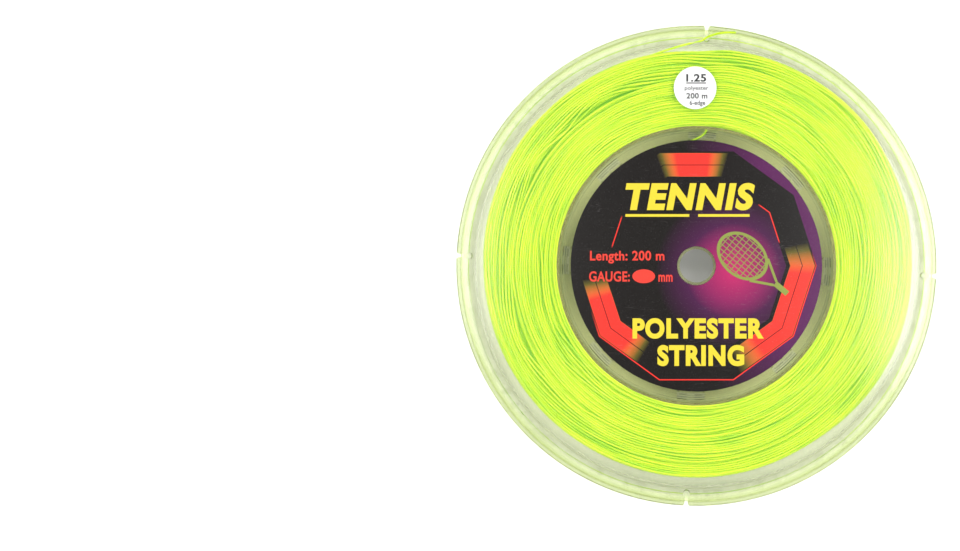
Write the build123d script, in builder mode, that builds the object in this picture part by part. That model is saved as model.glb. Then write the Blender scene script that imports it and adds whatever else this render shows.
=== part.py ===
# A 200 m reel of tennis string: two clear moulded halves that snap together round
# the string, card labels in the recessed hub faces, and a gauge sticker.
# The reel lies flat, label side up, with its axis on +Z and the origin on the axis
# in the plane that it rests on. Millimetres.
import os
from math import pi, radians, tan

from build123d import *

# ---- driving dimensions ----
reel_radius = 135.0          # outer edge of both rims
string_gap = 15.0            # between the flanges' inner faces
flange_wall = 1.6
rim_step = 1.9               # the rims stand outward of the flanges
rim_width = 6.5              # from the step to the rim's edge
step_run = 2.0               # radial length of the step
step_half_angle = 22.0       # half the step's slope, in degrees
bead_width = 2.0             # thicker band along the rim's edge
bead_depth = 1.0             # how far the bead stands into the gap
bead_fillet = 0.5

drum_radius = 78.8           # outside of the drum that the string is wound on
drum_wall = 1.6
skirt_wall = 1.4             # the front half's skirt plugs into the drum
skirt_depth = 6.0
skirt_clearance = 0.2
web_recess = 2.0             # the hub faces lie below the flanges' outer faces

bore_radius = 9.5
collar_wall = 1.2
collar_height = 1.0          # above and below each web

# snap tongues on the front half, hooked under the rear half's web
tongue_count = 8
tongue_width = 15.6
tongue_wall = 1.2
tongue_return = 1.6          # side walls of the tongue's C section
tongue_rib_width = 1.2
side_wall_gap = 1.0          # the tongues' side walls and ribs end above the rear web
web_slit = 1.0               # slit in the front web along each tongue's outer face
barb_reach = 0.9
barb_height = 1.3
window_clearance = 0.2
window_flex = 0.8            # room behind the tongue for it to bend
tongue_notch_width = 4.5     # string passage in every other tongue
tongue_notch_height = 10.0   # from the tongue's tip

# keyholes in the front half that park the string's free end
keyhole_count = 4
keyhole_inset = 6.5          # from the rim's edge to the hole's centre
keyhole_diameter = 3.8
slit_width = 1.8
flare_width = 3.9            # mouth of the slit at the rim's edge
flare_depth = 1.5
cut_margin = 0.5             # how far a cut runs past the edge that it opens

string_diameter = 1.25
winding_margin = 6.6         # flange left bare outside the wound string
winding_side_clearance = 0.1
drum_hole_diameter = 3.0     # the string's inner end enters the hub here
drum_hole_offset = 2.4       # beside the +Y axis
drum_hole_height = 10.1

label_margin = 1.7           # between the label's edge and the tongue windows
label_thickness = 0.3
label_hole_clearance = 0.3   # round the collar
sticker_radius = 12.0
sticker_thickness = 0.15
sticker_shift = 2.45         # inward from the middle of the flange
sticker_angle = 92.9         # degrees from +X, counter-clockwise

# ---- derived dimensions ----
step_end = reel_radius - rim_width               # the step's two ends, on the inner face
step_start = step_end - step_run
bead_start = reel_radius - bead_width
keyhole_pitch_radius = reel_radius - keyhole_inset
winding_radius = step_start - winding_margin
sticker_pitch_radius = (drum_radius + step_start) / 2 - sticker_shift
flange_depth = rim_step + flange_wall            # a half's depth outside the gap
rear_face = flange_depth                         # z of the flanges' inner faces
front_face = rear_face + string_gap
total_width = front_face + flange_depth
drum_inner = drum_radius - drum_wall
skirt_outer = drum_inner - skirt_clearance
skirt_inner = skirt_outer - skirt_wall
tongue_outer = skirt_inner - web_slit
tongue_inner = tongue_outer - tongue_wall
window_inner = tongue_inner - window_flex
label_radius = window_inner - label_margin
web_outer_depth = flange_wall - web_recess       # measured outward from a flange's inner face
web_inner_depth = web_outer_depth - flange_wall
front_web_top = front_face + web_outer_depth
front_web_under = front_face + web_inner_depth
rear_web_under = rear_face - web_outer_depth
rear_web_top = rear_face - web_inner_depth
tongue_tip = rear_web_under - barb_height
collar_outer = bore_radius + collar_wall
corner_shift = flange_wall * tan(radians(step_half_angle))  # keeps the wall even round the step


def flange_section(inner_radius, face, outward):
    """One flange and rim in section: face is the z of its inner side, outward is +1 or -1."""
    outline = [
        (inner_radius, 0.0),
        (step_start, 0.0),
        (step_end, rim_step),
        (bead_start, rim_step),
        (bead_start, rim_step - bead_depth),
        (reel_radius, rim_step - bead_depth),
        (reel_radius, flange_depth),
        (step_end - corner_shift, flange_depth),
        (step_start - corner_shift, flange_wall),
        (inner_radius, flange_wall),
    ]
    Polygon([(r, face + outward * depth) for r, depth in outline], align=None)


def ring_section(inner_radius, outer_radius, bottom, top):
    """A plain ring in section."""
    with Locations(((inner_radius + outer_radius) / 2, (bottom + top) / 2)):
        Rectangle(outer_radius - inner_radius, top - bottom)


def hub_section(web_bottom, web_top, web_outer_radius):
    """A web with its bore collar, in section."""
    ring_section(bore_radius, web_outer_radius, web_bottom, web_top)
    ring_section(bore_radius, collar_outer, web_bottom - collar_height, web_top + collar_height)


def ring_blocks(inner_radius, outer_radius, width, count):
    """Equal blocks of a ring, evenly spaced, as a flat sketch."""
    with PolarLocations(0, count):
        with Locations((outer_radius / 2, 0)):
            Rectangle(outer_radius + 2 * cut_margin, width)
    Circle(outer_radius, mode=Mode.INTERSECT)
    Circle(inner_radius, mode=Mode.SUBTRACT)


def keyholes():
    """The round holes near the rim and their slits, flared at the rim's edge."""
    to_edge = reel_radius - keyhole_pitch_radius
    with PolarLocations(keyhole_pitch_radius, keyhole_count):
        Circle(keyhole_diameter / 2)
        with Locations((to_edge / 2, 0)):
            Rectangle(to_edge, slit_width)
        with Locations((to_edge, 0)):
            Polygon(
                (-flare_depth, -slit_width / 2),
                (cut_margin, -flare_width / 2),
                (cut_margin, flare_width / 2),
                (-flare_depth, slit_width / 2),
                align=None,
            )


def label_outline():
    """A round card with a hole that clears the collar."""
    Circle(label_radius)
    Circle(collar_outer + label_hole_clearance, mode=Mode.SUBTRACT)


def cord_radii(points):
    """The largest arc for each corner of a route: 0.45 of the shorter run over tan(half turn)."""
    vectors = [Vector(*point) for point in points]
    runs = [after - before for before, after in zip(vectors, vectors[1:])]
    radii = []
    for before, after in zip(runs, runs[1:]):
        half_turn = radians(before.get_angle(after) / 2)
        radii.append(0.45 * min(before.length, after.length) / tan(half_turn))
    return radii


# ---- rear half: flange, drum and web in one moulding ----
with BuildPart() as spool_rear_half:
    with BuildSketch(Plane.XZ) as rear_section:
        flange_section(drum_inner, rear_face, -1)
        ring_section(drum_inner, drum_radius, rear_face - flange_wall, front_face)
        hub_section(rear_web_under, rear_web_top, drum_inner)
        fillet(rear_section.vertices().sort_by(Axis.X)[-2:], radius=bead_fillet)
    revolve(axis=Axis.Z)
    with BuildSketch() as tongue_windows:
        ring_blocks(
            window_inner,
            tongue_outer + window_clearance,
            tongue_width + 2 * window_clearance,
            tongue_count,
        )
    extrude(amount=rear_web_top, mode=Mode.SUBTRACT)
    # hole through the drum wall for the string's inner end
    with BuildSketch(Plane.XZ.offset(-drum_radius)) as drum_hole:
        with Locations((drum_hole_offset, drum_hole_height)):
            Circle(drum_hole_diameter / 2)
    extrude(amount=2 * drum_wall, both=True, mode=Mode.SUBTRACT)
spool_rear_half.part.label = "spool_rear_half"

# ---- front half: flange, skirt, web and snap tongues in one moulding ----
with BuildPart() as spool_front_half:
    with BuildSketch(Plane.XZ) as tongue_section:
        with BuildLine():
            Polyline(
                (tongue_inner, front_web_under),
                (tongue_inner, tongue_tip),
                (tongue_outer, tongue_tip),
                (tongue_outer + barb_reach, rear_web_under),
                (tongue_outer, rear_web_under),
                (tongue_outer, front_web_under),
                close=True,
            )
        make_face()
    revolve(axis=Axis.Z)
    with BuildSketch() as tongue_plan:
        ring_blocks(
            tongue_inner - cut_margin,
            tongue_outer + barb_reach + cut_margin,
            tongue_width,
            tongue_count,
        )
    extrude(amount=total_width, mode=Mode.INTERSECT)
    # the C section's side walls stop short of the rear web
    side_offset = (tongue_width - tongue_wall) / 2
    side_centre = tongue_inner - tongue_return / 2
    with BuildSketch(Plane.XY.offset(rear_web_top + side_wall_gap)) as tongue_sides:
        with PolarLocations(0, tongue_count):
            with Locations((side_centre, side_offset), (side_centre, -side_offset)):
                Rectangle(tongue_return + tongue_wall, tongue_wall)
    extrude(amount=front_web_under - rear_web_top - side_wall_gap)
    # every other tongue has a stiffening rib, and the rest a notch for the string
    between = 360 / tongue_count
    with BuildSketch(Plane.XY.offset(rear_web_top + side_wall_gap)) as tongue_ribs:
        with PolarLocations(0, tongue_count // 2, start_angle=between):
            with Locations((side_centre, 0)):
                Rectangle(tongue_return + tongue_wall, tongue_rib_width)
    extrude(amount=front_web_under - rear_web_top - side_wall_gap)
    with BuildSketch(Plane.XY.offset(tongue_tip)) as tongue_notches:
        ring_blocks(
            tongue_inner - tongue_return,
            tongue_outer + barb_reach + cut_margin,
            tongue_notch_width,
            tongue_count // 2,
        )
    extrude(amount=tongue_notch_height, mode=Mode.SUBTRACT)
    with BuildSketch(Plane.XZ) as front_section:
        flange_section(skirt_inner, front_face, 1)
        ring_section(skirt_inner, skirt_outer, front_face - skirt_depth, front_face + flange_wall)
        hub_section(front_web_under, front_web_top, skirt_inner)
        fillet(front_section.vertices().sort_by(Axis.X)[-2:], radius=bead_fillet)
    revolve(axis=Axis.Z)
    with BuildSketch(Plane.XY.offset(front_web_under)) as web_slits:
        ring_blocks(tongue_outer, skirt_inner, tongue_width, tongue_count)
    extrude(amount=flange_wall, mode=Mode.SUBTRACT)
    with BuildSketch() as front_keyholes:
        keyholes()
    extrude(amount=total_width, mode=Mode.SUBTRACT)
spool_front_half.part.label = "spool_front_half"

# ---- the wound string, as the closed ring that it fills ----
with BuildPart() as string_winding:
    with BuildSketch(Plane.XZ) as winding_section:
        ring_section(
            drum_radius,
            winding_radius,
            rear_face + winding_side_clearance,
            front_face - winding_side_clearance,
        )
    revolve(axis=Axis.Z)
string_winding.part.label = "string_winding"

# ---- the string's free end: off the winding, out through a keyhole, along the rim ----
tail_points = [
    (-50.17, 109.59, 12.20),
    (-42.69, 112.98, 13.00),
    (-33.48, 116.77, 14.00),
    (-24.65, 120.07, 15.10),
    (-16.42, 123.03, 16.00),
    (-8.98, 125.30, 16.70),
    (-1.20, 127.80, 18.40),
    (1.25, 129.00, 23.05),
    (5.00, 130.40, 23.95),
    (9.00, 131.30, 23.75),
    (12.80, 131.80, 23.25),
    (16.40, 131.85, 22.66),
]

# ---- the string's inner end: through the drum and the notched tongue, under the label ----
inner_points = [
    (2.60, 78.63, 10.10),
    (2.20, 76.20, 10.10),
    (0.60, 74.10, 10.20),
    (-2.60, 72.20, 10.30),
    (-7.30, 70.00, 10.60),
    (-12.20, 68.10, 11.00),
    (-17.20, 66.70, 11.50),
    (-22.20, 65.90, 11.90),
    (-27.00, 65.80, 12.20),
]


def print_cord(name, part, path, radii):
    """Arc radii, length, and the tube's volume over its section times its length."""
    length = sum(edge.length for edge in path.edges())
    section = pi * (string_diameter / 2) ** 2
    print(name, "arc radii", [round(radius, 1) for radius in radii])
    print(name, "length", round(length, 2), "volume ratio", round(part.volume / section / length, 4))


tail_radii = cord_radii(tail_points)
with BuildPart() as string_tail:
    with BuildLine() as tail_path:
        FilletPolyline(*tail_points, radius=tail_radii)
    with BuildSketch(Plane(tail_points[0], z_dir=tail_path.line % 0)) as tail_end:
        Circle(string_diameter / 2)
    sweep()
string_tail.part.label = "string_tail"
print_cord("string_tail", string_tail.part, tail_path.line, tail_radii)

inner_radii = cord_radii(inner_points)
with BuildPart() as string_inner_end:
    with BuildLine() as inner_path:
        FilletPolyline(*inner_points, radius=inner_radii)
    with BuildSketch(Plane(inner_points[0], z_dir=inner_path.line % 0)) as inner_end:
        Circle(string_diameter / 2)
    sweep()
string_inner_end.part.label = "string_inner_end"
print_cord("string_inner_end", string_inner_end.part, inner_path.line, inner_radii)

# ---- card labels in the two hub recesses ----
with BuildPart() as front_label:
    with BuildSketch(Plane.XY.offset(front_web_top)) as front_label_plan:
        label_outline()
    extrude(amount=label_thickness)
front_label.part.label = "front_label"

with BuildPart() as rear_label:
    with BuildSketch(Plane.XY.offset(rear_web_under - label_thickness)) as rear_label_plan:
        label_outline()
    extrude(amount=label_thickness)
rear_label.part.label = "rear_label"

# ---- gauge sticker on the front flange ----
with BuildPart() as gauge_sticker:
    with BuildSketch(Plane.XY.offset(front_face + flange_wall)) as sticker_plan:
        with PolarLocations(sticker_pitch_radius, 1, start_angle=sticker_angle):
            Circle(sticker_radius)
    extrude(amount=sticker_thickness)
gauge_sticker.part.label = "gauge_sticker"

os.makedirs("parts", exist_ok=True)
for piece in (
    spool_rear_half,
    spool_front_half,
    string_winding,
    string_tail,
    string_inner_end,
    front_label,
    rear_label,
    gauge_sticker,
):
    export_step(piece.part, f"parts/{piece.part.label}.step")
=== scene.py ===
# %% [markdown]
# # A reel of tennis string
# Two clear moulded halves hold 200 m of lime-yellow string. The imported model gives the
# halves, the labels and the sticker in the reel's own frame: the reel lies flat, its axis
# is +Z, and the labelled front faces up. This script keeps those solids, gives each one
# its finish, and makes the string itself, turn by turn.

# %% Load the frame
import math

import bpy
import numpy as np
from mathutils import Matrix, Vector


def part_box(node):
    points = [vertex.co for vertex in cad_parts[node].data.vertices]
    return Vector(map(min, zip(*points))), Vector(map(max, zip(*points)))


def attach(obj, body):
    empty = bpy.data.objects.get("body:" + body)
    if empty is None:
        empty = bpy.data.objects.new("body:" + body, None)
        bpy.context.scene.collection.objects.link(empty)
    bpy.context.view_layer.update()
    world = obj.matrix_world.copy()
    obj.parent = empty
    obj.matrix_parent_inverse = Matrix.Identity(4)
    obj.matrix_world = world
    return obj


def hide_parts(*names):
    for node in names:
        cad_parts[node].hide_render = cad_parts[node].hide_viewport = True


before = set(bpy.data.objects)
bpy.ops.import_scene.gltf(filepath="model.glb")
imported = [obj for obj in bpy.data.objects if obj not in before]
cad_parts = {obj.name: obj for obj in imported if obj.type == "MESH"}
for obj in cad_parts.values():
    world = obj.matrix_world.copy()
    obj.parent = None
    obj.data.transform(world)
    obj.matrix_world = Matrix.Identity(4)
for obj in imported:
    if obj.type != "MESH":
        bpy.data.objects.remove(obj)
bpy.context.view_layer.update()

MM = 0.001
BODY = "root"

# %% [markdown]
# ## Sizes
# The winding's ring and the two faces that it lies between, the label's top and the
# sticker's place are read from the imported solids. The string's gauge and length, the drum's
# radius and the rim's height are the reel's own sizes.

# %% Read the sizes
winding_low, winding_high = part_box("string_winding")
sticker_low, sticker_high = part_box("gauge_sticker")
label_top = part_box("front_label")[1][2]
reel_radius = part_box("spool_front_half")[1][0]

STRING_DIAMETER = 1.25 * MM
STRING_LENGTH = 200.0
DRUM_RADIUS = 78.8 * MM
RIM_TOP = 22.0 * MM
ART_TURN = math.radians(2.5)    # how far the label and the view stand turned
ART_LEVEL = np.array([math.cos(ART_TURN), math.sin(ART_TURN)])
ART_SQUARE = np.array([-math.sin(ART_TURN), math.cos(ART_TURN)])
print("winding radius m", round(winding_high[0], 4), "reel radius m", round(reel_radius, 4))

# %% [markdown]
# ## Camera, floor and light
# The camera hangs over the reel's axis and looks straight down, so the rims stay true
# circles and the rear rim shows evenly inside the front one. The lens is shifted sideways,
# as on a product table, which puts the reel right of the middle without tilting the view.

# %% Camera
CAMERA_HEIGHT = 1.10            # above the front rim
LENS = 73.4
SHIFT = (-0.2254, -0.0101)


def link(thing):
    """Puts an object in the scene."""
    bpy.context.scene.collection.objects.link(thing)


def make_camera():
    """A camera on the reel's axis, turned a little so that the reel looks turned clockwise."""
    data = bpy.data.cameras.new("view")
    data.lens = LENS
    data.shift_x, data.shift_y = SHIFT
    data.dof.use_dof = False
    camera = bpy.data.objects.new("view", data)
    camera.location = (0.0, 0.0, RIM_TOP + CAMERA_HEIGHT)
    camera.rotation_euler = (0.0, 0.0, ART_TURN)
    link(camera)
    bpy.context.scene.camera = camera


make_camera()
print("camera", CAMERA_HEIGHT, "m above the rim, lens", LENS, "mm")

# %% [markdown]
# White paper lies under the reel.

# %% Floor
FLOOR_SIZE = 6.0


def plain_material(name, colour, roughness):
    """A Principled material with set values, and the shader to work on."""
    material = bpy.data.materials.new(name)
    material.use_nodes = True
    shader = material.node_tree.nodes["Principled BSDF"]
    shader.inputs["Base Color"].default_value = (*colour, 1.0)
    shader.inputs["Roughness"].default_value = roughness
    return material, shader


def make_floor():
    """A flat white sheet at the height that the reel rests on."""
    half = FLOOR_SIZE / 2
    mesh = bpy.data.meshes.new("floor")
    corners = [(-half, -half, 0), (half, -half, 0), (half, half, 0), (-half, half, 0)]
    mesh.from_pydata(corners, [], [(0, 1, 2, 3)])
    floor = bpy.data.objects.new("floor", mesh)
    link(floor)
    mesh.materials.append(plain_material("white paper", (0.93, 0.93, 0.93), 0.9)[0])


make_floor()
print("floor", FLOOR_SIZE, "m square")

# %% [markdown]
# Four big soft panels stand round the reel, each a little different, so that the light has
# a direction. Two small panels beside the camera are there for their reflections: they lie
# as pale bands on the left and the right of the flange.

# %% Lights
PANEL_POWERS = (22.0, 18.5, 14.5, 17.0)
PANEL_REACH = 1.5               # from the axis
PANEL_HEIGHT = 1.3
PANEL_SIZE = (1.1, 1.1)
REFLECTION_HEIGHT = 1.322
WORLD_STRENGTH = 0.15


def panel(name, place, aim, size, power):
    """A rectangular soft light at place, facing aim."""
    data = bpy.data.lights.new(name, "AREA")
    data.shape = "RECTANGLE"
    data.size, data.size_y = size
    data.energy = power
    light = bpy.data.objects.new(name, data)
    light.location = place
    direction = np.array(aim, float) - np.array(place, float)
    yaw = math.atan2(direction[1], direction[0])
    pitch = math.acos(-direction[2] / np.linalg.norm(direction))
    light.rotation_euler = (0.0, pitch, yaw + math.pi)
    link(light)


def make_light():
    """An even room, four big panels around the reel, and two small ones for reflections."""
    world = bpy.data.worlds.new("white room")
    world.use_nodes = True
    background = world.node_tree.nodes["Background"]
    background.inputs["Color"].default_value = (1, 1, 1, 1)
    background.inputs["Strength"].default_value = WORLD_STRENGTH
    bpy.context.scene.world = world
    for number, power in enumerate(PANEL_POWERS):
        turn = math.pi / 2 * number + math.pi / 4
        place = (PANEL_REACH * math.cos(turn), PANEL_REACH * math.sin(turn), PANEL_HEIGHT)
        panel(f"soft panel {number + 1}", place, (0, 0, 0), PANEL_SIZE, power)
    for side, x, y, size, power in (
        ("left", -0.40, 0.03, (0.28, 0.30), 0.9),
        ("right", 0.38, 0.04, (0.30, 0.34), 1.6),
    ):
        panel(f"{side} reflection", (x, y, REFLECTION_HEIGHT), (x, y, 0), size, power)
    bpy.context.scene.view_settings.view_transform = "Standard"


make_light()
print("lights", len(bpy.data.lights))

# %% [markdown]
# ## The string's profile
# The string is a twisted hexagon, 1.25 mm across. A tube that follows a line has a ring of
# corners at each point of the line. The ring stands across the line, and its corners turn
# with the length run, which makes the twist. The same function makes the free tail, the
# inner end and the whole winding.

# %% A twisted tube along a line
SIDES = 6
TWIST_PITCH = 27.0 * MM
CORNER_SHARE = 1.05             # the corners stand a little outside the gauge's circle
print("string of", SIDES, "sides, a turn each", round(TWIST_PITCH / MM), "mm")


def run_lengths(path):
    """Distance along the path to each of its points."""
    steps = np.linalg.norm(np.diff(path, axis=0), axis=1)
    return np.concatenate([[0.0], np.cumsum(steps)])


def section_frame(path):
    """Two directions across the path at each point: level, and square to that one."""
    along = np.gradient(path, axis=0)
    along /= np.linalg.norm(along, axis=1)[:, None]
    level = np.cross(along, [0.0, 0.0, 1.0])
    level /= np.linalg.norm(level, axis=1)[:, None]
    return level, np.cross(level, along)


def fill_mesh(mesh, points, corners, starts):
    """Gives a mesh its points, the corners of all its faces, and each face's first corner."""
    mesh.clear_geometry()
    mesh.vertices.add(len(points))
    mesh.vertices.foreach_set("co", points.ravel())
    mesh.loops.add(len(corners))
    mesh.loops.foreach_set("vertex_index", corners.astype(np.int32))
    mesh.polygons.add(len(starts))
    mesh.polygons.foreach_set("loop_start", starts.astype(np.int32))
    mesh.update(calc_edges=True)
    mesh.validate()


def string_mesh(name, path, level, square, start_length):
    """Corner k of ring i is path[i] + r (level cos a + square sin a).

    The angle a is k / 6 of a turn plus one turn for each twist pitch of length. Quads join
    ring to ring, and a six-sided face closes each end.
    """
    rings = len(path)
    length = start_length + run_lengths(path)
    angle = 2 * np.pi * (np.arange(SIDES)[None, :] / SIDES + length[:, None] / TWIST_PITCH)
    corner_radius = STRING_DIAMETER / 2 * CORNER_SHARE
    offset = (
        np.cos(angle)[:, :, None] * level[:, None, :]
        + np.sin(angle)[:, :, None] * square[:, None, :]
    )
    points = (path[:, None, :] + corner_radius * offset).reshape(-1, 3)
    first = (np.arange(rings - 1) * SIDES)[:, None] + np.arange(SIDES)[None, :]
    beside = (np.arange(rings - 1) * SIDES)[:, None] + (np.arange(SIDES)[None, :] + 1) % SIDES
    quads = np.stack([first, first + SIDES, beside + SIDES, beside], axis=-1).reshape(-1, 4)
    start_cap = np.arange(SIDES)
    end_cap = (rings - 1) * SIDES + np.arange(SIDES)[::-1]
    caps = 4 * len(quads) + np.array([0, SIDES])
    mesh = bpy.data.meshes.new(name)
    fill_mesh(
        mesh,
        points,
        np.concatenate([quads.ravel(), start_cap, end_cap]),
        np.concatenate([np.arange(len(quads)) * 4, caps]),
    )
    mesh.shade_smooth()
    return mesh


def add_piece(name, mesh, material, slot, *nodes):
    """Links a finished mesh that rides on the reel and stands for the named CAD nodes."""
    piece = bpy.data.objects.new(name, mesh)
    link(piece)
    piece.data.materials.append(material)
    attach(piece, BODY)
    if nodes:
        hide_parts(*nodes)
    return piece


# %% [markdown]
# ## Finishes
# Each material reads Object coordinates, so a pattern stays with its piece. Two effects
# are shared: fine grain that breaks up gloss, and thin scratches from handling.

# %% Small helpers for node trees
print("Blender", bpy.app.version_string)


def value_of(tree, operation, *inputs, clamp=False):
    """A Math node. Each input is a number or an output socket. Returns its output."""
    node = tree.nodes.new("ShaderNodeMath")
    node.operation = operation
    node.use_clamp = clamp
    for socket, source in zip(node.inputs, inputs):
        if isinstance(source, (int, float)):
            socket.default_value = source
        else:
            tree.links.new(source, socket)
    return node.outputs[0]


def mixed(tree, factor, first, second):
    """A colour mix: first where the factor is 0, second where it is 1."""
    node = tree.nodes.new("ShaderNodeMix")
    node.data_type = "RGBA"
    for name, source in (("Factor_Float", factor), ("A_Color", first), ("B_Color", second)):
        socket = next(s for s in node.inputs if s.identifier == name)
        if isinstance(source, tuple):
            socket.default_value = (*source, 1.0)
        else:
            tree.links.new(source, socket)
    return next(s for s in node.outputs if s.identifier == "Result_Color")


def noise(tree, vector, scale, detail=2.0):
    """A noise texture's value over the given coordinates."""
    node = tree.nodes.new("ShaderNodeTexNoise")
    node.inputs["Scale"].default_value = scale
    node.inputs["Detail"].default_value = detail
    tree.links.new(vector, node.inputs["Vector"])
    return node.outputs["Fac"]


def stretched(tree, vector, scale, turn=0.0):
    """Coordinates turned about Z and stretched, for marks that run one way."""
    node = tree.nodes.new("ShaderNodeMapping")
    node.inputs["Rotation"].default_value = (0.0, 0.0, turn)
    node.inputs["Scale"].default_value = scale
    tree.links.new(vector, node.inputs["Vector"])
    return node.outputs["Vector"]


def object_place(tree):
    """Object coordinates."""
    return tree.nodes.new("ShaderNodeTexCoord").outputs["Object"]


def parts_of(tree, vector):
    """A vector's X, Y and Z, by name."""
    node = tree.nodes.new("ShaderNodeSeparateXYZ")
    tree.links.new(vector, node.inputs["Vector"])
    return node.outputs


def level_part(tree, place, operation, output):
    """LENGTH or NORMALIZE of the level part of a place: its distance or direction."""
    node = tree.nodes.new("ShaderNodeVectorMath")
    node.operation = operation
    tree.links.new(stretched(tree, place, (1.0, 1.0, 0.0)), node.inputs[0])
    return node.outputs[output]


def ramp(tree, value, low, high):
    """0 below low, 1 above high, and straight between."""
    node = tree.nodes.new("ShaderNodeMapRange")
    node.clamp = True
    tree.links.new(value, node.inputs["Value"])
    node.inputs["From Min"].default_value = low
    node.inputs["From Max"].default_value = high
    return node.outputs["Result"]


# %% Shared effects: grain and scratches
GRAIN_HEIGHT = 0.02 * MM
THREAD_TURNS = (0.35, 1.45, 2.5)    # the ways that the scratches run
THREAD_STRETCH = 14.0
THREAD_WIDTH = 0.004


def make_group(name, build):
    """A shader node group with Grain Scale in, and Grain and Scratches out."""
    group = bpy.data.node_groups.new(name, "ShaderNodeTree")
    for socket, way in (("Grain Scale", "INPUT"), ("Grain", "OUTPUT"), ("Scratches", "OUTPUT")):
        group.interface.new_socket(socket, in_out=way, socket_type="NodeSocketFloat")
    build(group)
    return group


def build_handling(group):
    """Grain is fine noise. Scratches are thin threads where two stretched noises cross zero."""
    source = group.nodes.new("NodeGroupInput")
    sink = group.nodes.new("NodeGroupOutput")
    place = object_place(group)
    grain = group.nodes.new("ShaderNodeTexNoise")
    grain.inputs["Detail"].default_value = 4.0
    group.links.new(place, grain.inputs["Vector"])
    group.links.new(source.outputs["Grain Scale"], grain.inputs["Scale"])
    threads = []
    for turn in THREAD_TURNS:
        lines = noise(group, stretched(group, place, (1.0, THREAD_STRETCH, 1.0), turn), 22.0)
        distance = value_of(group, "ABSOLUTE", value_of(group, "SUBTRACT", lines, 0.5))
        thread = value_of(group, "SUBTRACT", 1.0, ramp(group, distance, 0.0, THREAD_WIDTH))
        patches = ramp(group, noise(group, place, 31.0 + 9.0 * turn), 0.56, 0.66)
        threads.append(value_of(group, "MULTIPLY", thread, patches))
    most = value_of(group, "MAXIMUM", value_of(group, "MAXIMUM", *threads[:2]), threads[2])
    group.links.new(grain.outputs["Fac"], sink.inputs["Grain"])
    group.links.new(most, sink.inputs["Scratches"])


HANDLING = make_group("handling marks", build_handling)
print("group", HANDLING.name, "nodes", len(HANDLING.nodes))


def handling(tree, grain_scale):
    """The shared group, placed with its own grain. Returns its two outputs."""
    node = tree.nodes.new("ShaderNodeGroup")
    node.node_tree = HANDLING
    node.inputs["Grain Scale"].default_value = grain_scale
    return node.outputs["Grain"], node.outputs["Scratches"]


def bump(tree, shader, grain, strength):
    """Feeds the shader's normal from the grain."""
    node = tree.nodes.new("ShaderNodeBump")
    node.inputs["Strength"].default_value = strength
    node.inputs["Distance"].default_value = GRAIN_HEIGHT
    tree.links.new(grain, node.inputs["Height"])
    tree.links.new(node.outputs["Normal"], shader.inputs["Normal"])


# %% [markdown]
# The string is co-polyester in a neon lime: glossy and brilliant. Where the turns shade one
# another the gaps should go deep green, not grey; a weak green glow of the shader is painted
# light that lifts them, though the string is no lamp. The colour also goes greener in fine
# streaks that run round the reel with the turns: painted shade, for turns that take less light.

# %% String
LIME_DEEP = (0.51, 0.59, 0.006)
LIME_PALE = (0.63, 0.68, 0.016)
# painted shade: the darker green of turns that lie in shade
LIME_PAINTED_SHADE = (0.28, 0.45, 0.003)
# painted light: a green glow that lifts the shaded gaps between turns
PAINTED_GAP_GLOW = (0.06, 1.0, 0.0)
STREAK_ACROSS = 620.0           # streaks for each metre outward
STREAK_AROUND = 3.0             # streaks for each radian, about


def painted_turn_shade(tree, place):
    """Painted shade: noise over distance from the axis and direction, so that it runs with the
    turns.
    """
    distance = level_part(tree, place, "LENGTH", "Value")
    direction = parts_of(tree, level_part(tree, place, "NORMALIZE", "Vector"))
    polar = tree.nodes.new("ShaderNodeCombineXYZ")
    for name, value, scale in (
        ("X", distance, STREAK_ACROSS),
        ("Y", direction["X"], STREAK_AROUND),
        ("Z", direction["Y"], STREAK_AROUND),
    ):
        tree.links.new(value_of(tree, "MULTIPLY", value, scale), polar.inputs[name])
    return ramp(tree, noise(tree, polar.outputs["Vector"], 1.0), 0.50, 0.74)


def make_string_material():
    """Lime string, its colour and gloss drifting slightly, with streaks of painted shade and a
    painted green glow.
    """
    material, shader = plain_material("lime string", LIME_DEEP, 0.34)
    tree = material.node_tree
    place = object_place(tree)
    grain = handling(tree, 2600.0)[0]
    colour = mixed(tree, noise(tree, place, 38.0, 3.0), LIME_DEEP, LIME_PALE)
    # painted shade: streaks of darker green for turns that take less light
    colour = mixed(tree, painted_turn_shade(tree, place), colour, LIME_PAINTED_SHADE)
    tree.links.new(colour, shader.inputs["Base Color"])
    rough = value_of(tree, "MULTIPLY_ADD", grain, 0.22, 0.22)
    tree.links.new(rough, shader.inputs["Roughness"])
    bump(tree, shader, grain, 0.25)
    # painted light: a weak green glow, though the string is no lamp, so that shaded gaps go green
    shader.inputs["Emission Color"].default_value = (*PAINTED_GAP_GLOW, 1.0)
    shader.inputs["Emission Strength"].default_value = 0.20
    material.cycles.emission_sampling = "NONE"
    return material


LIME = make_string_material()
print("material", LIME.name, "nodes", len(LIME.node_tree.nodes))

# %% [markdown]
# ## Free tail and inner end
# These two stretches are free cord, so each has its own route. The tail leaves the
# winding, rises through the keyhole and springs along the rim. The inner end runs from
# the drum's hole through the notched tongue and under the label. A smooth spline follows
# each route, and the twisted tube follows points read from that spline.

# %% Routes
TAIL_POINTS = [
    (-50.17, 109.59, 12.20),
    (-42.69, 112.98, 13.00),
    (-33.48, 116.77, 14.00),
    (-24.65, 120.07, 15.10),
    (-16.42, 123.03, 16.00),
    (-8.98, 125.30, 16.70),
    (-1.20, 127.80, 18.40),
    (1.25, 129.00, 23.05),
    (5.00, 130.40, 23.95),
    (9.00, 131.30, 23.75),
    (12.80, 131.80, 23.25),
    (16.40, 131.85, 22.66),
]
INNER_POINTS = [
    (2.60, 78.63, 10.10),
    (2.20, 76.20, 10.10),
    (0.60, 74.10, 10.20),
    (-2.60, 72.20, 10.30),
    (-7.30, 70.00, 10.60),
    (-12.20, 68.10, 11.00),
    (-17.20, 66.70, 11.50),
    (-22.20, 65.90, 11.90),
    (-27.00, 65.80, 12.20),
]


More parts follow.
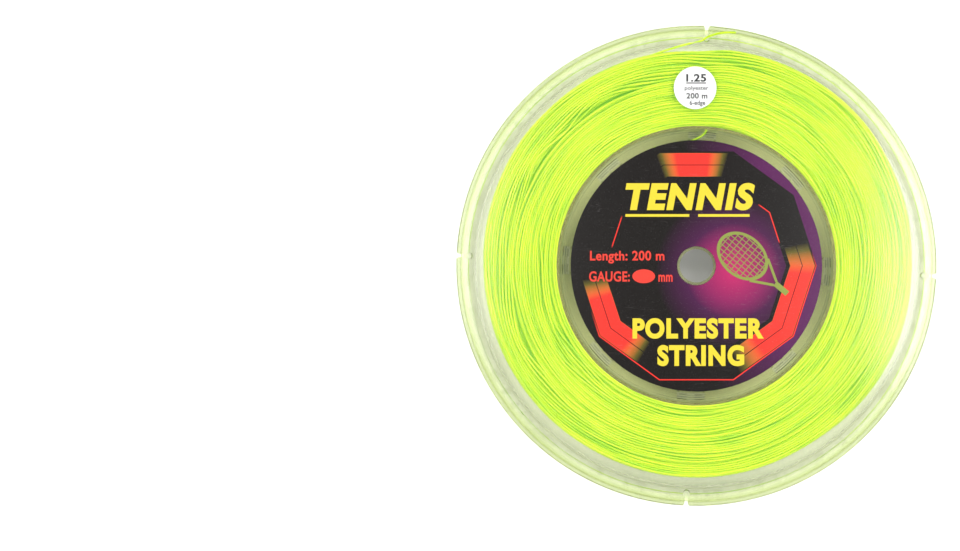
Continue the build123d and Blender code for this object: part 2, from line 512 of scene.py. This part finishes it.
def smooth_line(name, points):
    """Points along a NURBS spline whose control points are the route, in metres."""
    curve = bpy.data.curves.new(name, "CURVE")
    curve.dimensions = "3D"
    spline = curve.splines.new("NURBS")
    spline.points.add(len(points) - 1)
    for control, point in zip(spline.points, points):
        control.co = (*[value * MM for value in point], 1.0)
    spline.order_u = 3
    spline.use_endpoint_u = True
    spline.resolution_u = 10
    carrier = bpy.data.objects.new(name, curve)
    link(carrier)
    bpy.context.view_layer.update()
    mesh = bpy.data.meshes.new_from_object(carrier)
    line = np.empty(len(mesh.vertices) * 3)
    mesh.vertices.foreach_get("co", line)
    bpy.data.objects.remove(carrier)
    bpy.data.meshes.remove(mesh)
    return line.reshape(-1, 3)


def add_cord(name, node, points):
    """The twisted tube along a route."""
    line = smooth_line(name, points)
    level, square = section_frame(line)
    mesh = string_mesh(name, line, level, square, 0.0)
    piece = add_piece(name, mesh, LIME, "string", node)
    return line


tail_line = add_cord("tail_string", "string_tail", TAIL_POINTS)
inner_line = add_cord("inner_string", "string_inner_end", INNER_POINTS)

# %% [markdown]
# ## The winding, turn by turn
# A winding machine turns the reel and guides the string to and fro across its width. A
# plain helix would look too neat, so the model does what the machine does. It keeps the
# height of the heap at every angle and width. Each new turn follows the guide, but slides
# sideways into the nearest hollow, because it is pulled tight. Then it raises the heap.
# The turns add up to 200 m, cross at small angles and leave the gaps a real reel has.

# %% Guide
STEPS = 256                     # points on each turn
PASS_TURNS = 9.5                # turns in one pass across the width
SPEED_CHANGE = 0.35             # how far the guide's speed strays, over its mean
TRAVEL_CHANGE = 0.07            # how far a pass falls short of the flanges or past them
WANDER = 0.015                  # how far the guide shakes, over its travel
START_CLOCK = math.atan2(INNER_POINTS[0][0], INNER_POINTS[0][1])
END_CLOCK = math.atan2(TAIL_POINTS[0][0], TAIL_POINTS[0][1])


def smooth_noise(random, count, spacing):
    """Random values at even spacing, joined by smooth steps, one for each of count points."""
    knots = random.uniform(-1.0, 1.0, count // spacing + 3)
    place = np.arange(count) / spacing
    whole = place.astype(int)
    blend = 0.5 - 0.5 * np.cos(np.pi * (place - whole))
    return knots[whole] * (1 - blend) + knots[whole + 1] * blend


def guide_path(random, count):
    """Where the guide is across the width, 0 to 1: a triangle wave of uneven speed.

    Each pass is stretched or shrunk by smooth noise, so that the guide waits at a flange
    on some passes and turns back short of it on others, and finer noise shakes it.
    """
    speed = 1.0 + SPEED_CHANGE * smooth_noise(random, count, STEPS * 3)
    passes = np.cumsum(speed) / (STEPS * PASS_TURNS)
    wave = np.abs((passes + 0.55) % 2.0 - 1.0)
    travel = 1.0 + TRAVEL_CHANGE * smooth_noise(random, count, STEPS * 4)
    shake = smooth_noise(random, count, STEPS // 3) + smooth_noise(random, count, STEPS)
    return np.clip(0.5 + (wave - 0.5) * travel + WANDER * shake, 0.0, 1.0)


print("guide", PASS_TURNS, "turns a pass,", STEPS, "points a turn")

# %% Heap
SEED = 20
CELL = 0.125 * MM               # width of one cell of the heap
PACKED = 0.97                   # height that a crossed layer adds, over a diameter
PULL = 1.0 / MM                 # how strongly the guide holds a turn from sliding away
FIRM = 12                       # how much stronger still where a turn starts
CARRIED = 10                    # points carried over from turn to turn, to smooth across
BLEND_STEPS = 32                # points over which a turn parts from the one before
MOST_TURNS = 400                # length of the guide's path, more than the reel takes


def mean_nearby(values, reach):
    """The mean over reach points to each side, along the first axis."""
    padded = np.pad(values, [(reach, reach)] + [(0, 0)] * (values.ndim - 1), mode="edge")
    windows = np.lib.stride_tricks.sliding_window_view(padded, 2 * reach + 1, axis=0)
    return windows.mean(axis=-1)


def highest_nearby(values, reach):
    """The highest value over reach points to each side."""
    padded = np.pad(values, reach, mode="edge")
    return np.lib.stride_tricks.sliding_window_view(padded, 2 * reach + 1).max(axis=-1)


def wind_string(total_length):
    """Lays whole turns until the length is used up. Returns clock angle, radius and height.

    A string centred on a cell rests where its round underside first meets the heap: the
    highest, over the cells it covers, of the heap plus the half circle's height there. The
    turn takes the cell with the least of that radius plus PULL times the squared distance
    from the guide. Then the cells it covers rise to its upper side.
    """
    random = np.random.default_rng(SEED)
    half = STRING_DIAMETER / 2
    reach = int(round(half / CELL))
    columns = int(round((winding_high[2] - winding_low[2] - 2 * half) / CELL)) + 1
    covered = np.arange(2 * reach + 1)
    crown = PACKED * np.sqrt(np.clip(half**2 - ((covered - reach) * CELL) ** 2, 0.0, None))
    heap = np.full((STEPS, columns + 2 * reach), DRUM_RADIUS)
    guide = guide_path(random, STEPS * MOST_TURNS) * (columns - 1)
    rows = np.arange(STEPS)
    start = np.clip(rows / BLEND_STEPS, 0.0, 1.0)
    ease = start**2 * (3 - 2 * start)
    cell, last_radii = guide[0], np.empty(0)
    radii, cells, used = [], [], 0.0
    while used < total_length:
        aim = cell + (guide[len(cells) * STEPS:][:STEPS] - cell) * ease
        under = np.lib.stride_tricks.sliding_window_view(heap, 2 * reach + 1, axis=1)
        resting = (under + crown).max(axis=2)
        away = (np.arange(columns)[None, :] - aim[:, None]) * CELL
        cost = mean_nearby(resting, 4) + PULL * (1 + FIRM - FIRM * ease)[:, None] * away**2
        chosen = np.concatenate([np.full(CARRIED, cell), cost.argmin(axis=1)])
        chosen = mean_nearby(mean_nearby(chosen, 6), 5)[CARRIED:]
        chosen += (cell - chosen[0]) * (1 - ease)
        nearest = np.clip(np.round(chosen).astype(int), 0, columns - 1)
        radius = highest_nearby(resting[rows, nearest], 2)
        radius = mean_nearby(np.concatenate([last_radii, radius]), 3)[len(last_radii):]
        under_string = (rows[:, None], nearest[:, None] + covered[None, :])
        heap[under_string] = np.maximum(heap[under_string], radius[:, None] + crown)
        radii.append(radius)
        cells.append(chosen)
        cell, last_radii = chosen[-1], radius[-8:]
        used += 2 * math.pi * radius.mean()
    radius, across = np.concatenate(radii), np.concatenate(cells) * CELL
    turned = START_CLOCK + 2 * np.pi * np.arange(len(radius)) / STEPS
    return turned, radius, winding_low[2] + half + across


free_length = run_lengths(tail_line)[-1] + run_lengths(inner_line)[-1]
clock, radius, height = wind_string(STRING_LENGTH - free_length)
print("turns", len(clock) // STEPS, "outer radius mm", round(radius[-STEPS:].mean() / MM, 2))

# %% [markdown]
# The first and last stretches are eased onto the free cords, so that the string runs on
# without a break. A light smoothing takes out the seams between the turns. The tube is cut
# into a few pieces, end to end, to keep each mesh a handy size.

# %% Wound string
WINDING_PIECES = 6
SMOOTH_REACH = 4                # points to each side that the radius is smoothed over


def eased(values, target, count, at_end):
    """Values that move smoothly onto target over the last or the first count points."""
    blend = 0.5 - 0.5 * np.cos(np.pi * np.linspace(0.0, 1.0, count))
    values = values.copy()
    if at_end:
        values[-count:] = values[-count:] * (1 - blend) + target * blend
    else:
        values[:count] = values[:count] * blend + target * (1 - blend)
    return values


def wound_line():
    """The winding's centre line, trimmed to end where the tail starts."""
    spare = (clock[-1] - END_CLOCK) % (2 * np.pi)
    keep = len(clock) - int(round(spare / (2 * np.pi) * STEPS))
    kernel = np.hanning(2 * SMOOTH_REACH + 1)
    kernel /= kernel.sum()
    smooth = np.convolve(np.pad(radius, SMOOTH_REACH, mode="edge"), kernel, mode="valid")
    around = clock[:keep]
    out = eased(smooth[:keep], np.hypot(*tail_line[0, :2]), STEPS // 3, True)
    out = eased(out, np.hypot(*inner_line[0, :2]) + STRING_DIAMETER / 2, STEPS // 12, False)
    up = eased(height[:keep], tail_line[0, 2], STEPS // 2, True)
    up = eased(up, inner_line[0, 2], STEPS // 8, False)
    return np.stack([out * np.sin(around), out * np.cos(around), up], axis=1)


line = wound_line()
level, square = section_frame(line)
length = run_lengths(line)
cuts = np.linspace(0, len(line) - 1, WINDING_PIECES + 1).astype(int)
for number, (start, stop) in enumerate(zip(cuts, cuts[1:]), 1):
    part = slice(start, stop + 1)
    mesh = string_mesh(f"winding_{number}", line[part], level[part], square[part], length[start])
    add_piece(f"winding_{number}", mesh, LIME, "string", "string_winding")
wound_length = float(length[-1])
print("wound m", round(wound_length, 2), "with ends", round(wound_length + free_length, 2))

# %% [markdown]
# ## Clear plastic
# The halves are moulded in clear styrene. The plates are thin, so what lies behind them is
# seen almost unbent, while the steps, slits and tongues catch light at their edges. Light
# has to reach the string through the plastic, so for shadow rays the shader is a plain
# tinted window; for sight it is real glass with a little haze. The string colours the light
# in the plastic near it, which a fast render does not follow, so that light is painted into
# the glass's colour by distance from the axis: olive at the hub, nearly clear over the turns,
# pale lime at rim and lip, where the colour is painted shade as well as the string's light.
# The rim's painted shade lies mostly in the rear half, so the keyholes of the front rim stay
# faint.

# %% Plastic
HAZE = 0.06                     # roughness where there is no grain
GRAIN_HAZE = 0.10
SCRATCH_HAZE = 0.02
WINDOW = (0.934, 0.936, 0.908)  # the tint of each surface for shadow rays
FLANGE_TINT = (0.88, 0.89, 0.80)
FRONT_RIM_TINT = (0.93, 0.935, 0.88)
# painted shade and string-coloured light at the rear rim
REAR_RIM_PAINTED_SHADE = (0.52, 0.55, 0.40)
# painted shade and string-coloured light at the lip
LIP_PAINTED_SHADE = (0.64, 0.70, 0.43)
HUB_TINT = (0.96, 0.97, 0.72)
# distances from the axis between which one tint passes into the next
HUB_END = (78.5 * MM, 79.5 * MM)
RIM_START = (123.0 * MM, 127.5 * MM)
LIP_START = (130.0 * MM, 132.6 * MM)
HALVES_MEET = (10.0 * MM, 12.0 * MM)    # the same up the axis, from rear half to front half


def painted_plastic_light(tree):
    """Painted light by distance from the axis: hub, flange, rim, lip, with painted shade at rim
    and lip. The halves' rims differ.
    """
    place = object_place(tree)
    distance = level_part(tree, place, "LENGTH", "Value")
    in_front = ramp(tree, parts_of(tree, place)["Z"], *HALVES_MEET)
    rim_painted_shade = mixed(tree, in_front, REAR_RIM_PAINTED_SHADE, FRONT_RIM_TINT)
    tint = mixed(tree, ramp(tree, distance, *HUB_END), HUB_TINT, FLANGE_TINT)
    tint = mixed(tree, ramp(tree, distance, *RIM_START), tint, rim_painted_shade)
    return mixed(tree, ramp(tree, distance, *LIP_START), tint, LIP_PAINTED_SHADE)


def make_plastic():
    """Glass to the eye, a tinted window to the lamps."""
    material, shader = plain_material("clear styrene", FLANGE_TINT, HAZE)
    tree = material.node_tree
    shader.inputs["Transmission Weight"].default_value = 0.985
    shader.inputs["IOR"].default_value = 1.5
    grain, scratches = handling(tree, 420.0)
    # the glass's colour is painted light and shade, by distance from the axis
    tree.links.new(painted_plastic_light(tree), shader.inputs["Base Color"])
    rough = value_of(tree, "MULTIPLY_ADD", grain, GRAIN_HAZE, HAZE)
    rough = value_of(tree, "MULTIPLY_ADD", scratches, SCRATCH_HAZE, rough)
    tree.links.new(rough, shader.inputs["Roughness"])
    bump(tree, shader, grain, 0.03)
    window = tree.nodes.new("ShaderNodeBsdfTransparent")
    window.inputs["Color"].default_value = (*WINDOW, 1.0)
    rays = tree.nodes.new("ShaderNodeLightPath")
    choose = tree.nodes.new("ShaderNodeMixShader")
    output = tree.nodes["Material Output"]
    tree.links.new(rays.outputs["Is Shadow Ray"], choose.inputs["Fac"])
    tree.links.new(shader.outputs["BSDF"], choose.inputs[1])
    tree.links.new(window.outputs["BSDF"], choose.inputs[2])
    tree.links.new(choose.outputs["Shader"], output.inputs["Surface"])
    return material


def dress(node, material):
    """Gives every slot of a CAD node the material."""
    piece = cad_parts[node]
    if not piece.material_slots:
        piece.data.materials.append(material)
    for slot in piece.material_slots:
        slot.material = material


PLASTIC = make_plastic()
dress("spool_front_half", PLASTIC)
dress("spool_rear_half", PLASTIC)
print("material", PLASTIC.name, "nodes", len(PLASTIC.node_tree.nodes))

# %% [markdown]
# ## Labels
# The card disc is printed: a black ground, a ten-sided red band that fades in and out, a
# thin red outline and a purple glow. The pattern is plain geometry, so nodes draw it from
# Object coordinates, turned so that it reads level. The distance to a ten-sided frame is
# the distance from the middle times the cosine of the angle to the nearest side's middle.

# %% Label print
SIDE_ANGLE = 2 * math.pi / 10
GLOW_EDGE = (48.0, 48.3)        # in mm from the middle to a side: where the glow is cut off,
BAND_EDGES = (50.5, 63.4)       # the broad band,
BAND_LINE = (56.7, 57.0)        # the dark line along the band,
OUTLINE = (64.0, 64.5)          # the thin outline,
SHORT_LINES = (48.3, 48.8)      # and the two short lines beside the words
GLOW_MIDDLE = (21.0, -3.0)
PURPLE_FADE = (18.0, 44.0)      # from the glow's middle, where each colour starts to fade
MAGENTA_FADE = (2.0, 27.0)      # and where it is gone
# each arc of the band, in degrees: its middle, its half width and how softly it fades
BAND_ARCS = ((-28.0, 20.0, 20.0), (213.0, 12.0, 14.0), (92.0, 6.0, 12.0))
INK_RED = (0.90, 0.040, 0.028)
INK_YELLOW = (0.82, 0.66, 0.035)
INK_OLIVE = (0.30, 0.25, 0.03)
CARD_BLACK = (0.009, 0.007, 0.006)
INK_PURPLE = (0.095, 0.013, 0.085)
INK_MAGENTA = (0.50, 0.022, 0.13)
STICKER_WHITE = (0.90, 0.90, 0.89)
CARD_SCUFF = (0.45, 0.43, 0.42)


def between(tree, value, low, high, soft):
    """1 between low and high, falling to 0 over soft on each side."""
    rise = ramp(tree, value, low - soft, low)
    fall = ramp(tree, value, high, high + soft)
    return value_of(tree, "SUBTRACT", rise, fall, clamp=True)


def near_angle(tree, angle, centre, half_width, soft):
    """1 within half_width of the centre angle, in degrees, fading over soft."""
    turned = value_of(tree, "SUBTRACT", angle, math.radians(centre))
    distance = value_of(tree, "ABSOLUTE", value_of(tree, "WRAP", turned, math.pi, -math.pi))
    edge = math.radians(half_width)
    return value_of(tree, "SUBTRACT", 1.0, ramp(tree, distance, edge, edge + math.radians(soft)))


def distance_from(tree, x, y, centre):
    """Distance from a point, in millimetres."""
    across = value_of(tree, "SUBTRACT", x, centre[0])
    up = value_of(tree, "SUBTRACT", y, centre[1])
    squares = value_of(tree, "MULTIPLY_ADD", across, across, value_of(tree, "MULTIPLY", up, up))
    return value_of(tree, "SQRT", squares)


def label_print(tree):
    """The printed colour at each place of the card."""
    place = stretched(tree, object_place(tree), (1 / MM, 1 / MM, 1 / MM), -ART_TURN)
    x, y, _ = parts_of(tree, place)
    angle = value_of(tree, "ARCTAN2", y, x)
    to_side = value_of(tree, "WRAP", angle, SIDE_ANGLE, 0.0)
    to_side = value_of(tree, "SUBTRACT", to_side, SIDE_ANGLE / 2)
    middle = distance_from(tree, x, y, (0.0, 0.0))
    frame_line = value_of(tree, "MULTIPLY", middle, value_of(tree, "COSINE", to_side))
    glow = distance_from(tree, x, y, GLOW_MIDDLE)
    inside = value_of(tree, "SUBTRACT", 1.0, ramp(tree, frame_line, *GLOW_EDGE))
    purple = value_of(tree, "SUBTRACT", 1.0, ramp(tree, glow, *PURPLE_FADE))
    magenta = value_of(tree, "SUBTRACT", 1.0, ramp(tree, glow, *MAGENTA_FADE))
    colour = mixed(tree, value_of(tree, "MULTIPLY", purple, inside), CARD_BLACK, INK_PURPLE)
    colour = mixed(tree, value_of(tree, "MULTIPLY", magenta, inside), colour, INK_MAGENTA)
    edge = value_of(tree, "MULTIPLY", ramp(tree, frame_line, 64.4, 64.6),
                    near_angle(tree, angle, 8.0, 48.0, 40.0))
    colour = mixed(tree, edge, colour, INK_PURPLE)
    band = between(tree, frame_line, *BAND_EDGES, 0.25)
    for centre, half_width, soft in BAND_ARCS:
        arc = value_of(tree, "MULTIPLY", band, near_angle(tree, angle, centre, half_width, soft))
        colour = mixed(tree, ramp(tree, arc, 0.0, 0.55), colour, INK_OLIVE)
        colour = mixed(tree, ramp(tree, arc, 0.20, 0.80), colour, INK_RED)
    colour = mixed(tree, between(tree, frame_line, *BAND_LINE, 0.12), colour, CARD_BLACK)
    lines = value_of(tree, "MULTIPLY", between(tree, frame_line, *OUTLINE, 0.12),
                     near_angle(tree, angle, -75.0, 70.0, 12.0))
    for centre, half_width in ((30.0, 13.0), (157.0, 9.0)):
        short = value_of(tree, "MULTIPLY", between(tree, frame_line, *SHORT_LINES, 0.1),
                         near_angle(tree, angle, centre, half_width, 2.0))
        lines = value_of(tree, "MAXIMUM", lines, short)
    return mixed(tree, lines, colour, INK_RED)


def make_card(name, pattern, colour):
    """Coated card: semi-gloss, with fine grain and a few handling scratches."""
    material, shader = plain_material(name, colour, 0.35)
    tree = material.node_tree
    grain, scratches = handling(tree, 1500.0)
    base = pattern(tree) if pattern else colour
    worn = mixed(tree, value_of(tree, "MULTIPLY", scratches, 0.12), base, CARD_SCUFF)
    tree.links.new(worn, shader.inputs["Base Color"])
    tree.links.new(value_of(tree, "MULTIPLY_ADD", grain, 0.20, 0.14), shader.inputs["Roughness"])
    bump(tree, shader, grain, 0.12)
    return material


for node, finish, pattern, colour in (
    ("front_label", "printed card", label_print, CARD_BLACK),
    ("rear_label", "black card", None, CARD_BLACK),
    ("gauge_sticker", "white sticker", None, STICKER_WHITE),
):
    dress(node, make_card(finish, pattern, colour))
    print(node, "has the finish", finish)

# %% [markdown]
# The letters and lines are flat shapes, thickened by a hair, so that they print crisply at
# any distance. Each stands a few hundredths of a millimetre out of the card. A Solidify
# modifier moves points along their normals, which a filled letter doesn't always have right,
# so each slab is put together outright. The words are plain ones for the goods: what it is,
# its length and its gauge.

# %% Printed shapes
INK_THICKNESS = 0.03 * MM
STROKE_STEP = 0.002 * MM        # how much higher each stroke lies than the one before
INK_WEAR = 0.82                 # the ink's brightness where it is rubbed
print("ink stands", round(INK_THICKNESS / MM, 3), "mm out of the card")


def ink(name, colour):
    """Printed ink: an even colour, rubbed a little, with a slight gloss change."""
    material, shader = plain_material(name, colour, 0.4)
    tree = material.node_tree
    grain = handling(tree, 1800.0)[0]
    worn = tuple(INK_WEAR * part for part in colour)
    rubbed = mixed(tree, ramp(tree, grain, 0.3, 0.9), colour, worn)
    tree.links.new(rubbed, shader.inputs["Base Color"])
    tree.links.new(value_of(tree, "MULTIPLY_ADD", grain, 0.2, 0.25), shader.inputs["Roughness"])
    return material


def flat_faces(mesh, points):
    """Where each edge of the flat faces starts and ends, and each face's number of sides.

    Twice a face's area is the sum of x0 y1 - x1 y0 over its edges. Where that is below 0
    the corners are taken in reverse, so that all faces run anticlockwise. Two faces that
    run the same way along an edge lie on one another, so the smaller one is left out.
    """
    corners = np.empty(len(mesh.loops), np.int32)
    starts = np.empty(len(mesh.polygons), np.int32)
    mesh.loops.foreach_get("vertex_index", corners)
    mesh.polygons.foreach_get("loop_start", starts)
    sides = np.diff(np.append(starts, len(corners)))
    face = np.repeat(np.arange(len(sides)), sides)
    place = np.arange(len(corners))
    following = place + 1
    following[starts + sides - 1] = starts
    backward = (2 * starts + sides - 1)[face] - place
    near, far = points[corners], points[corners[following]]
    area = np.bincount(face, near[:, 0] * far[:, 1] - far[:, 0] * near[:, 1])
    first = np.where(area[face] < 0, corners[backward], corners).astype(int)
    second = first[following]
    way = first * len(points) + second
    order = np.lexsort((-np.abs(area)[face], way))
    covered = face[order[1:][way[order[1:]] == way[order[:-1]]]]
    kept = ~np.isin(face, covered)
    return first[kept], second[kept], np.delete(sides, covered)


def thicken(mesh, points):
    """Flat faces made a closed slab: the faces turned down, a raised copy, and a wall.

    The wall has a quad on each edge that no face runs along the other way.
    """
    first, second, sides = flat_faces(mesh, points)
    count = len(points)
    outline = ~np.isin(first * count + second, second * count + first)
    a, b = first[outline], second[outline]
    wall = np.column_stack([a, b, b + count, a + count])
    sides = np.concatenate([sides[::-1], sides, np.full(len(wall), 4)])
    fill_mesh(
        mesh,
        np.concatenate([points, points + [0.0, 0.0, INK_THICKNESS]]),
        np.concatenate([first[::-1], first + count, wall.ravel()]),
        np.cumsum(sides) - sides,
    )
    mesh.shade_flat()


def print_shape(name, mesh, flat, top, material, slot):
    """Places flat art, in millimetres, level on a surface at height top, as a thin piece.

    A point (x, y) of the art goes to x along the level direction plus y square to it.
    """
    placed = (flat[:, :1] * ART_LEVEL + flat[:, 1:2] * ART_SQUARE) * MM
    thicken(mesh, np.column_stack([placed, np.zeros(len(flat)) + top]))
    add_piece(name, mesh, material, slot)


def lettering(name, words, centre, width, tall, top, material, slot, heavy=0.0, lean=0.0):
    """Words fitted to a box: centre, width and height in millimetres of the art."""
    text = bpy.data.curves.new(name, "FONT")
    text.body, text.offset, text.shear, text.resolution_u = words, heavy, lean, 6
    text.space_character = 1.0 + 2.5 * heavy
    carrier = bpy.data.objects.new(name, text)
    link(carrier)
    bpy.context.view_layer.update()
    mesh = bpy.data.meshes.new_from_object(carrier)
    bpy.data.objects.remove(carrier)
    flat = np.empty(len(mesh.vertices) * 3)
    mesh.vertices.foreach_get("co", flat)
    flat = flat.reshape(-1, 3)[:, :2]
    low, high = flat.min(axis=0), flat.max(axis=0)
    flat = (flat - (low + high) / 2) * np.array([width, tall]) / (high - low) + np.array(centre)
    print_shape(name, mesh, flat, top, material, slot)


def strokes(name, runs, top, material, slot):
    """Straight strokes, each (x0, y0, x1, y1, width): a quad of that width along the run.

    Each stroke lies a step higher than the one before, so that crossings stay clean.
    """
    runs = np.array(runs, float)
    start, stop, wide = runs[:, 0:2], runs[:, 2:4], runs[:, 4:5]
    along = (stop - start) / np.linalg.norm(stop - start, axis=1)[:, None]
    side = np.column_stack([-along[:, 1], along[:, 0]]) * wide / 2
    flat = np.stack([start - side, stop - side, stop + side, start + side], axis=1).reshape(-1, 2)
    quads = np.arange(len(flat)).reshape(-1, 4)
    mesh = bpy.data.meshes.new(name)
    mesh.from_pydata([(0, 0, 0)] * len(flat), [], quads.tolist())
    heights = top + STROKE_STEP * np.repeat(np.arange(len(runs)), 4)
    print_shape(name, mesh, flat, heights, material, slot)


def ellipse_shape(name, centre, across, up, turn, inner, top, material, slot):
    """An ellipse turned by an angle: its edge is (across cos a, up sin a), then turned.

    With inner above 0 it is a ring, whose inner edge is the outer one times inner.
    """
    count = 72
    angle = 2 * np.pi * np.arange(count) / count
    edge = np.column_stack([across * np.cos(angle), up * np.sin(angle)])
    turned = np.array([[math.cos(turn), math.sin(turn)], [-math.sin(turn), math.cos(turn)]])
    outer = edge @ turned + centre
    if inner:
        flat = np.concatenate([outer, inner * (edge @ turned) + centre])
        first = np.arange(count)
        second = (first + 1) % count
        faces = np.column_stack([first, second, second + count, first + count]).tolist()
    else:
        flat, faces = outer, [list(range(count))]
    mesh = bpy.data.meshes.new(name)
    mesh.from_pydata([(0, 0, 0)] * len(flat), [], faces)
    print_shape(name, mesh, flat, top, material, slot)


# %% Words on the label
YELLOW = ink("yellow ink", INK_YELLOW)
RED = ink("red ink", (0.85, 0.05, 0.03))
OLIVE = ink("olive ink", (0.27, 0.33, 0.06))
BLACK = ink("black ink", (0.03, 0.03, 0.03))
CARD = "label_card"
lettering("title", "TENNIS", (-3.5, 39.0), 73, 15.5, label_top, YELLOW, CARD, 0.05, 0.18)
title_runs = [(-40, 28.4, -4, 28.4, 1.5), (1, 28.4, 30, 28.4, 1.5)]
strokes("title_lines", title_runs, label_top, YELLOW, CARD)
lettering("length_words", "Length: 200 m", (-39.0, 4.9), 42, 7.2, label_top, RED, CARD, 0.025)
lettering("gauge_word", "GAUGE:", (-49.0, -6.0), 23, 5.9, label_top, RED, CARD, 0.025)
ellipse_shape("gauge_field", (-29.7, -5.9), 6.4, 3.9, 0.0, 0.0, label_top, RED, CARD)
lettering("gauge_unit", "mm", (-17.4, -7.0), 8, 4.0, label_top, RED, CARD, 0.025)
lettering("kind_words", "POLYESTER", (1.0, -35.3), 74, 11.7, label_top, YELLOW, CARD, 0.05)
lettering("string_words", "STRING", (2.5, -50.6), 49, 12.0, label_top, YELLOW, CARD, 0.05)
print("label pieces at", round(label_top / MM, 2), "mm up the axis")

# %% [markdown]
# Right of the middle the card shows what the goods are for: a plain racket, drawn as an
# oval rim, crossed strings and a handle. Each string ends on the oval, where its half
# length is the oval's half width times the root of 1 less its squared place across.

# %% Racket on the label
RACKET_CENTRE = np.array([26.0, 5.5])
RACKET_HALF = (16.0, 12.0)
RACKET_TURN = math.radians(140)


def racket_runs():
    """Strings both ways inside the oval, and two throat strokes that meet in a handle."""
    runs = []
    long_half, short_half = RACKET_HALF
    for place in np.arange(-0.8, 0.81, 0.2):
        reach = 0.96 * math.sqrt(1 - place**2)
        x, y = long_half * place, short_half * place
        runs.append((x, -short_half * reach, x, short_half * reach))
        runs.append((-long_half * reach, y, long_half * reach, y))
    strings = [(*run, 0.45) for run in runs]
    foot = long_half + 8.0
    throat = [(-12.0, -8.0, -foot, -1.2, 1.4), (-12.0, 8.0, -foot, 1.2, 1.4),
              (-foot, 0.0, -foot - 9.0, 0.0, 3.2)]
    cosine, sine = math.cos(RACKET_TURN), math.sin(RACKET_TURN)

    def turned(x, y):
        return x * cosine - y * sine + RACKET_CENTRE[0], x * sine + y * cosine + RACKET_CENTRE[1]

    return [(*turned(*run[:2]), *turned(*run[2:4]), run[4]) for run in strings + throat]


strokes("racket_strings", racket_runs(), label_top, OLIVE, CARD)
ellipse_shape("racket_rim", RACKET_CENTRE, *RACKET_HALF, RACKET_TURN, 0.88,
              label_top + 2 * INK_THICKNESS, OLIVE, CARD)
print("racket strokes", len(racket_runs()))

# %% [markdown]
# The sticker is plain white paper, with the gauge and the length in black. Its few words
# are fitted to boxes in the same way as the label's, round the sticker's own middle.

# %% Words on the sticker
STICKER = "sticker_paper"
STICKER_TOP = sticker_high[2]
sticker_middle = (np.array(sticker_low[:2]) + np.array(sticker_high[:2])) / 2 / MM
sticker_art = np.array([sticker_middle @ ART_LEVEL, sticker_middle @ ART_SQUARE])
print("sticker middle in the art's mm", sticker_art.round(2))
for name, words, down, width, tall, heavy in (
    ("sticker_gauge", "1.25", (0.6, 5.6), 11.2, 4.4, 0.03),
    ("sticker_kind", "polyester", (0.8, -0.4), 13.4, 2.9, 0.015),
    ("sticker_length", "200 m", (1.0, -4.5), 11.8, 3.2, 0.025),
    ("sticker_shape", "6-edge", (1.3, -8.8), 8.8, 3.4, 0.02),
):
    lettering(name, words, sticker_art + down, width, tall, STICKER_TOP, BLACK, STICKER, heavy)
line_left, line_right = sticker_art + (-5.0, 2.7), sticker_art + (6.2, 2.7)
strokes("sticker_line", [(*line_left, *line_right, 0.6)], STICKER_TOP, BLACK, STICKER)
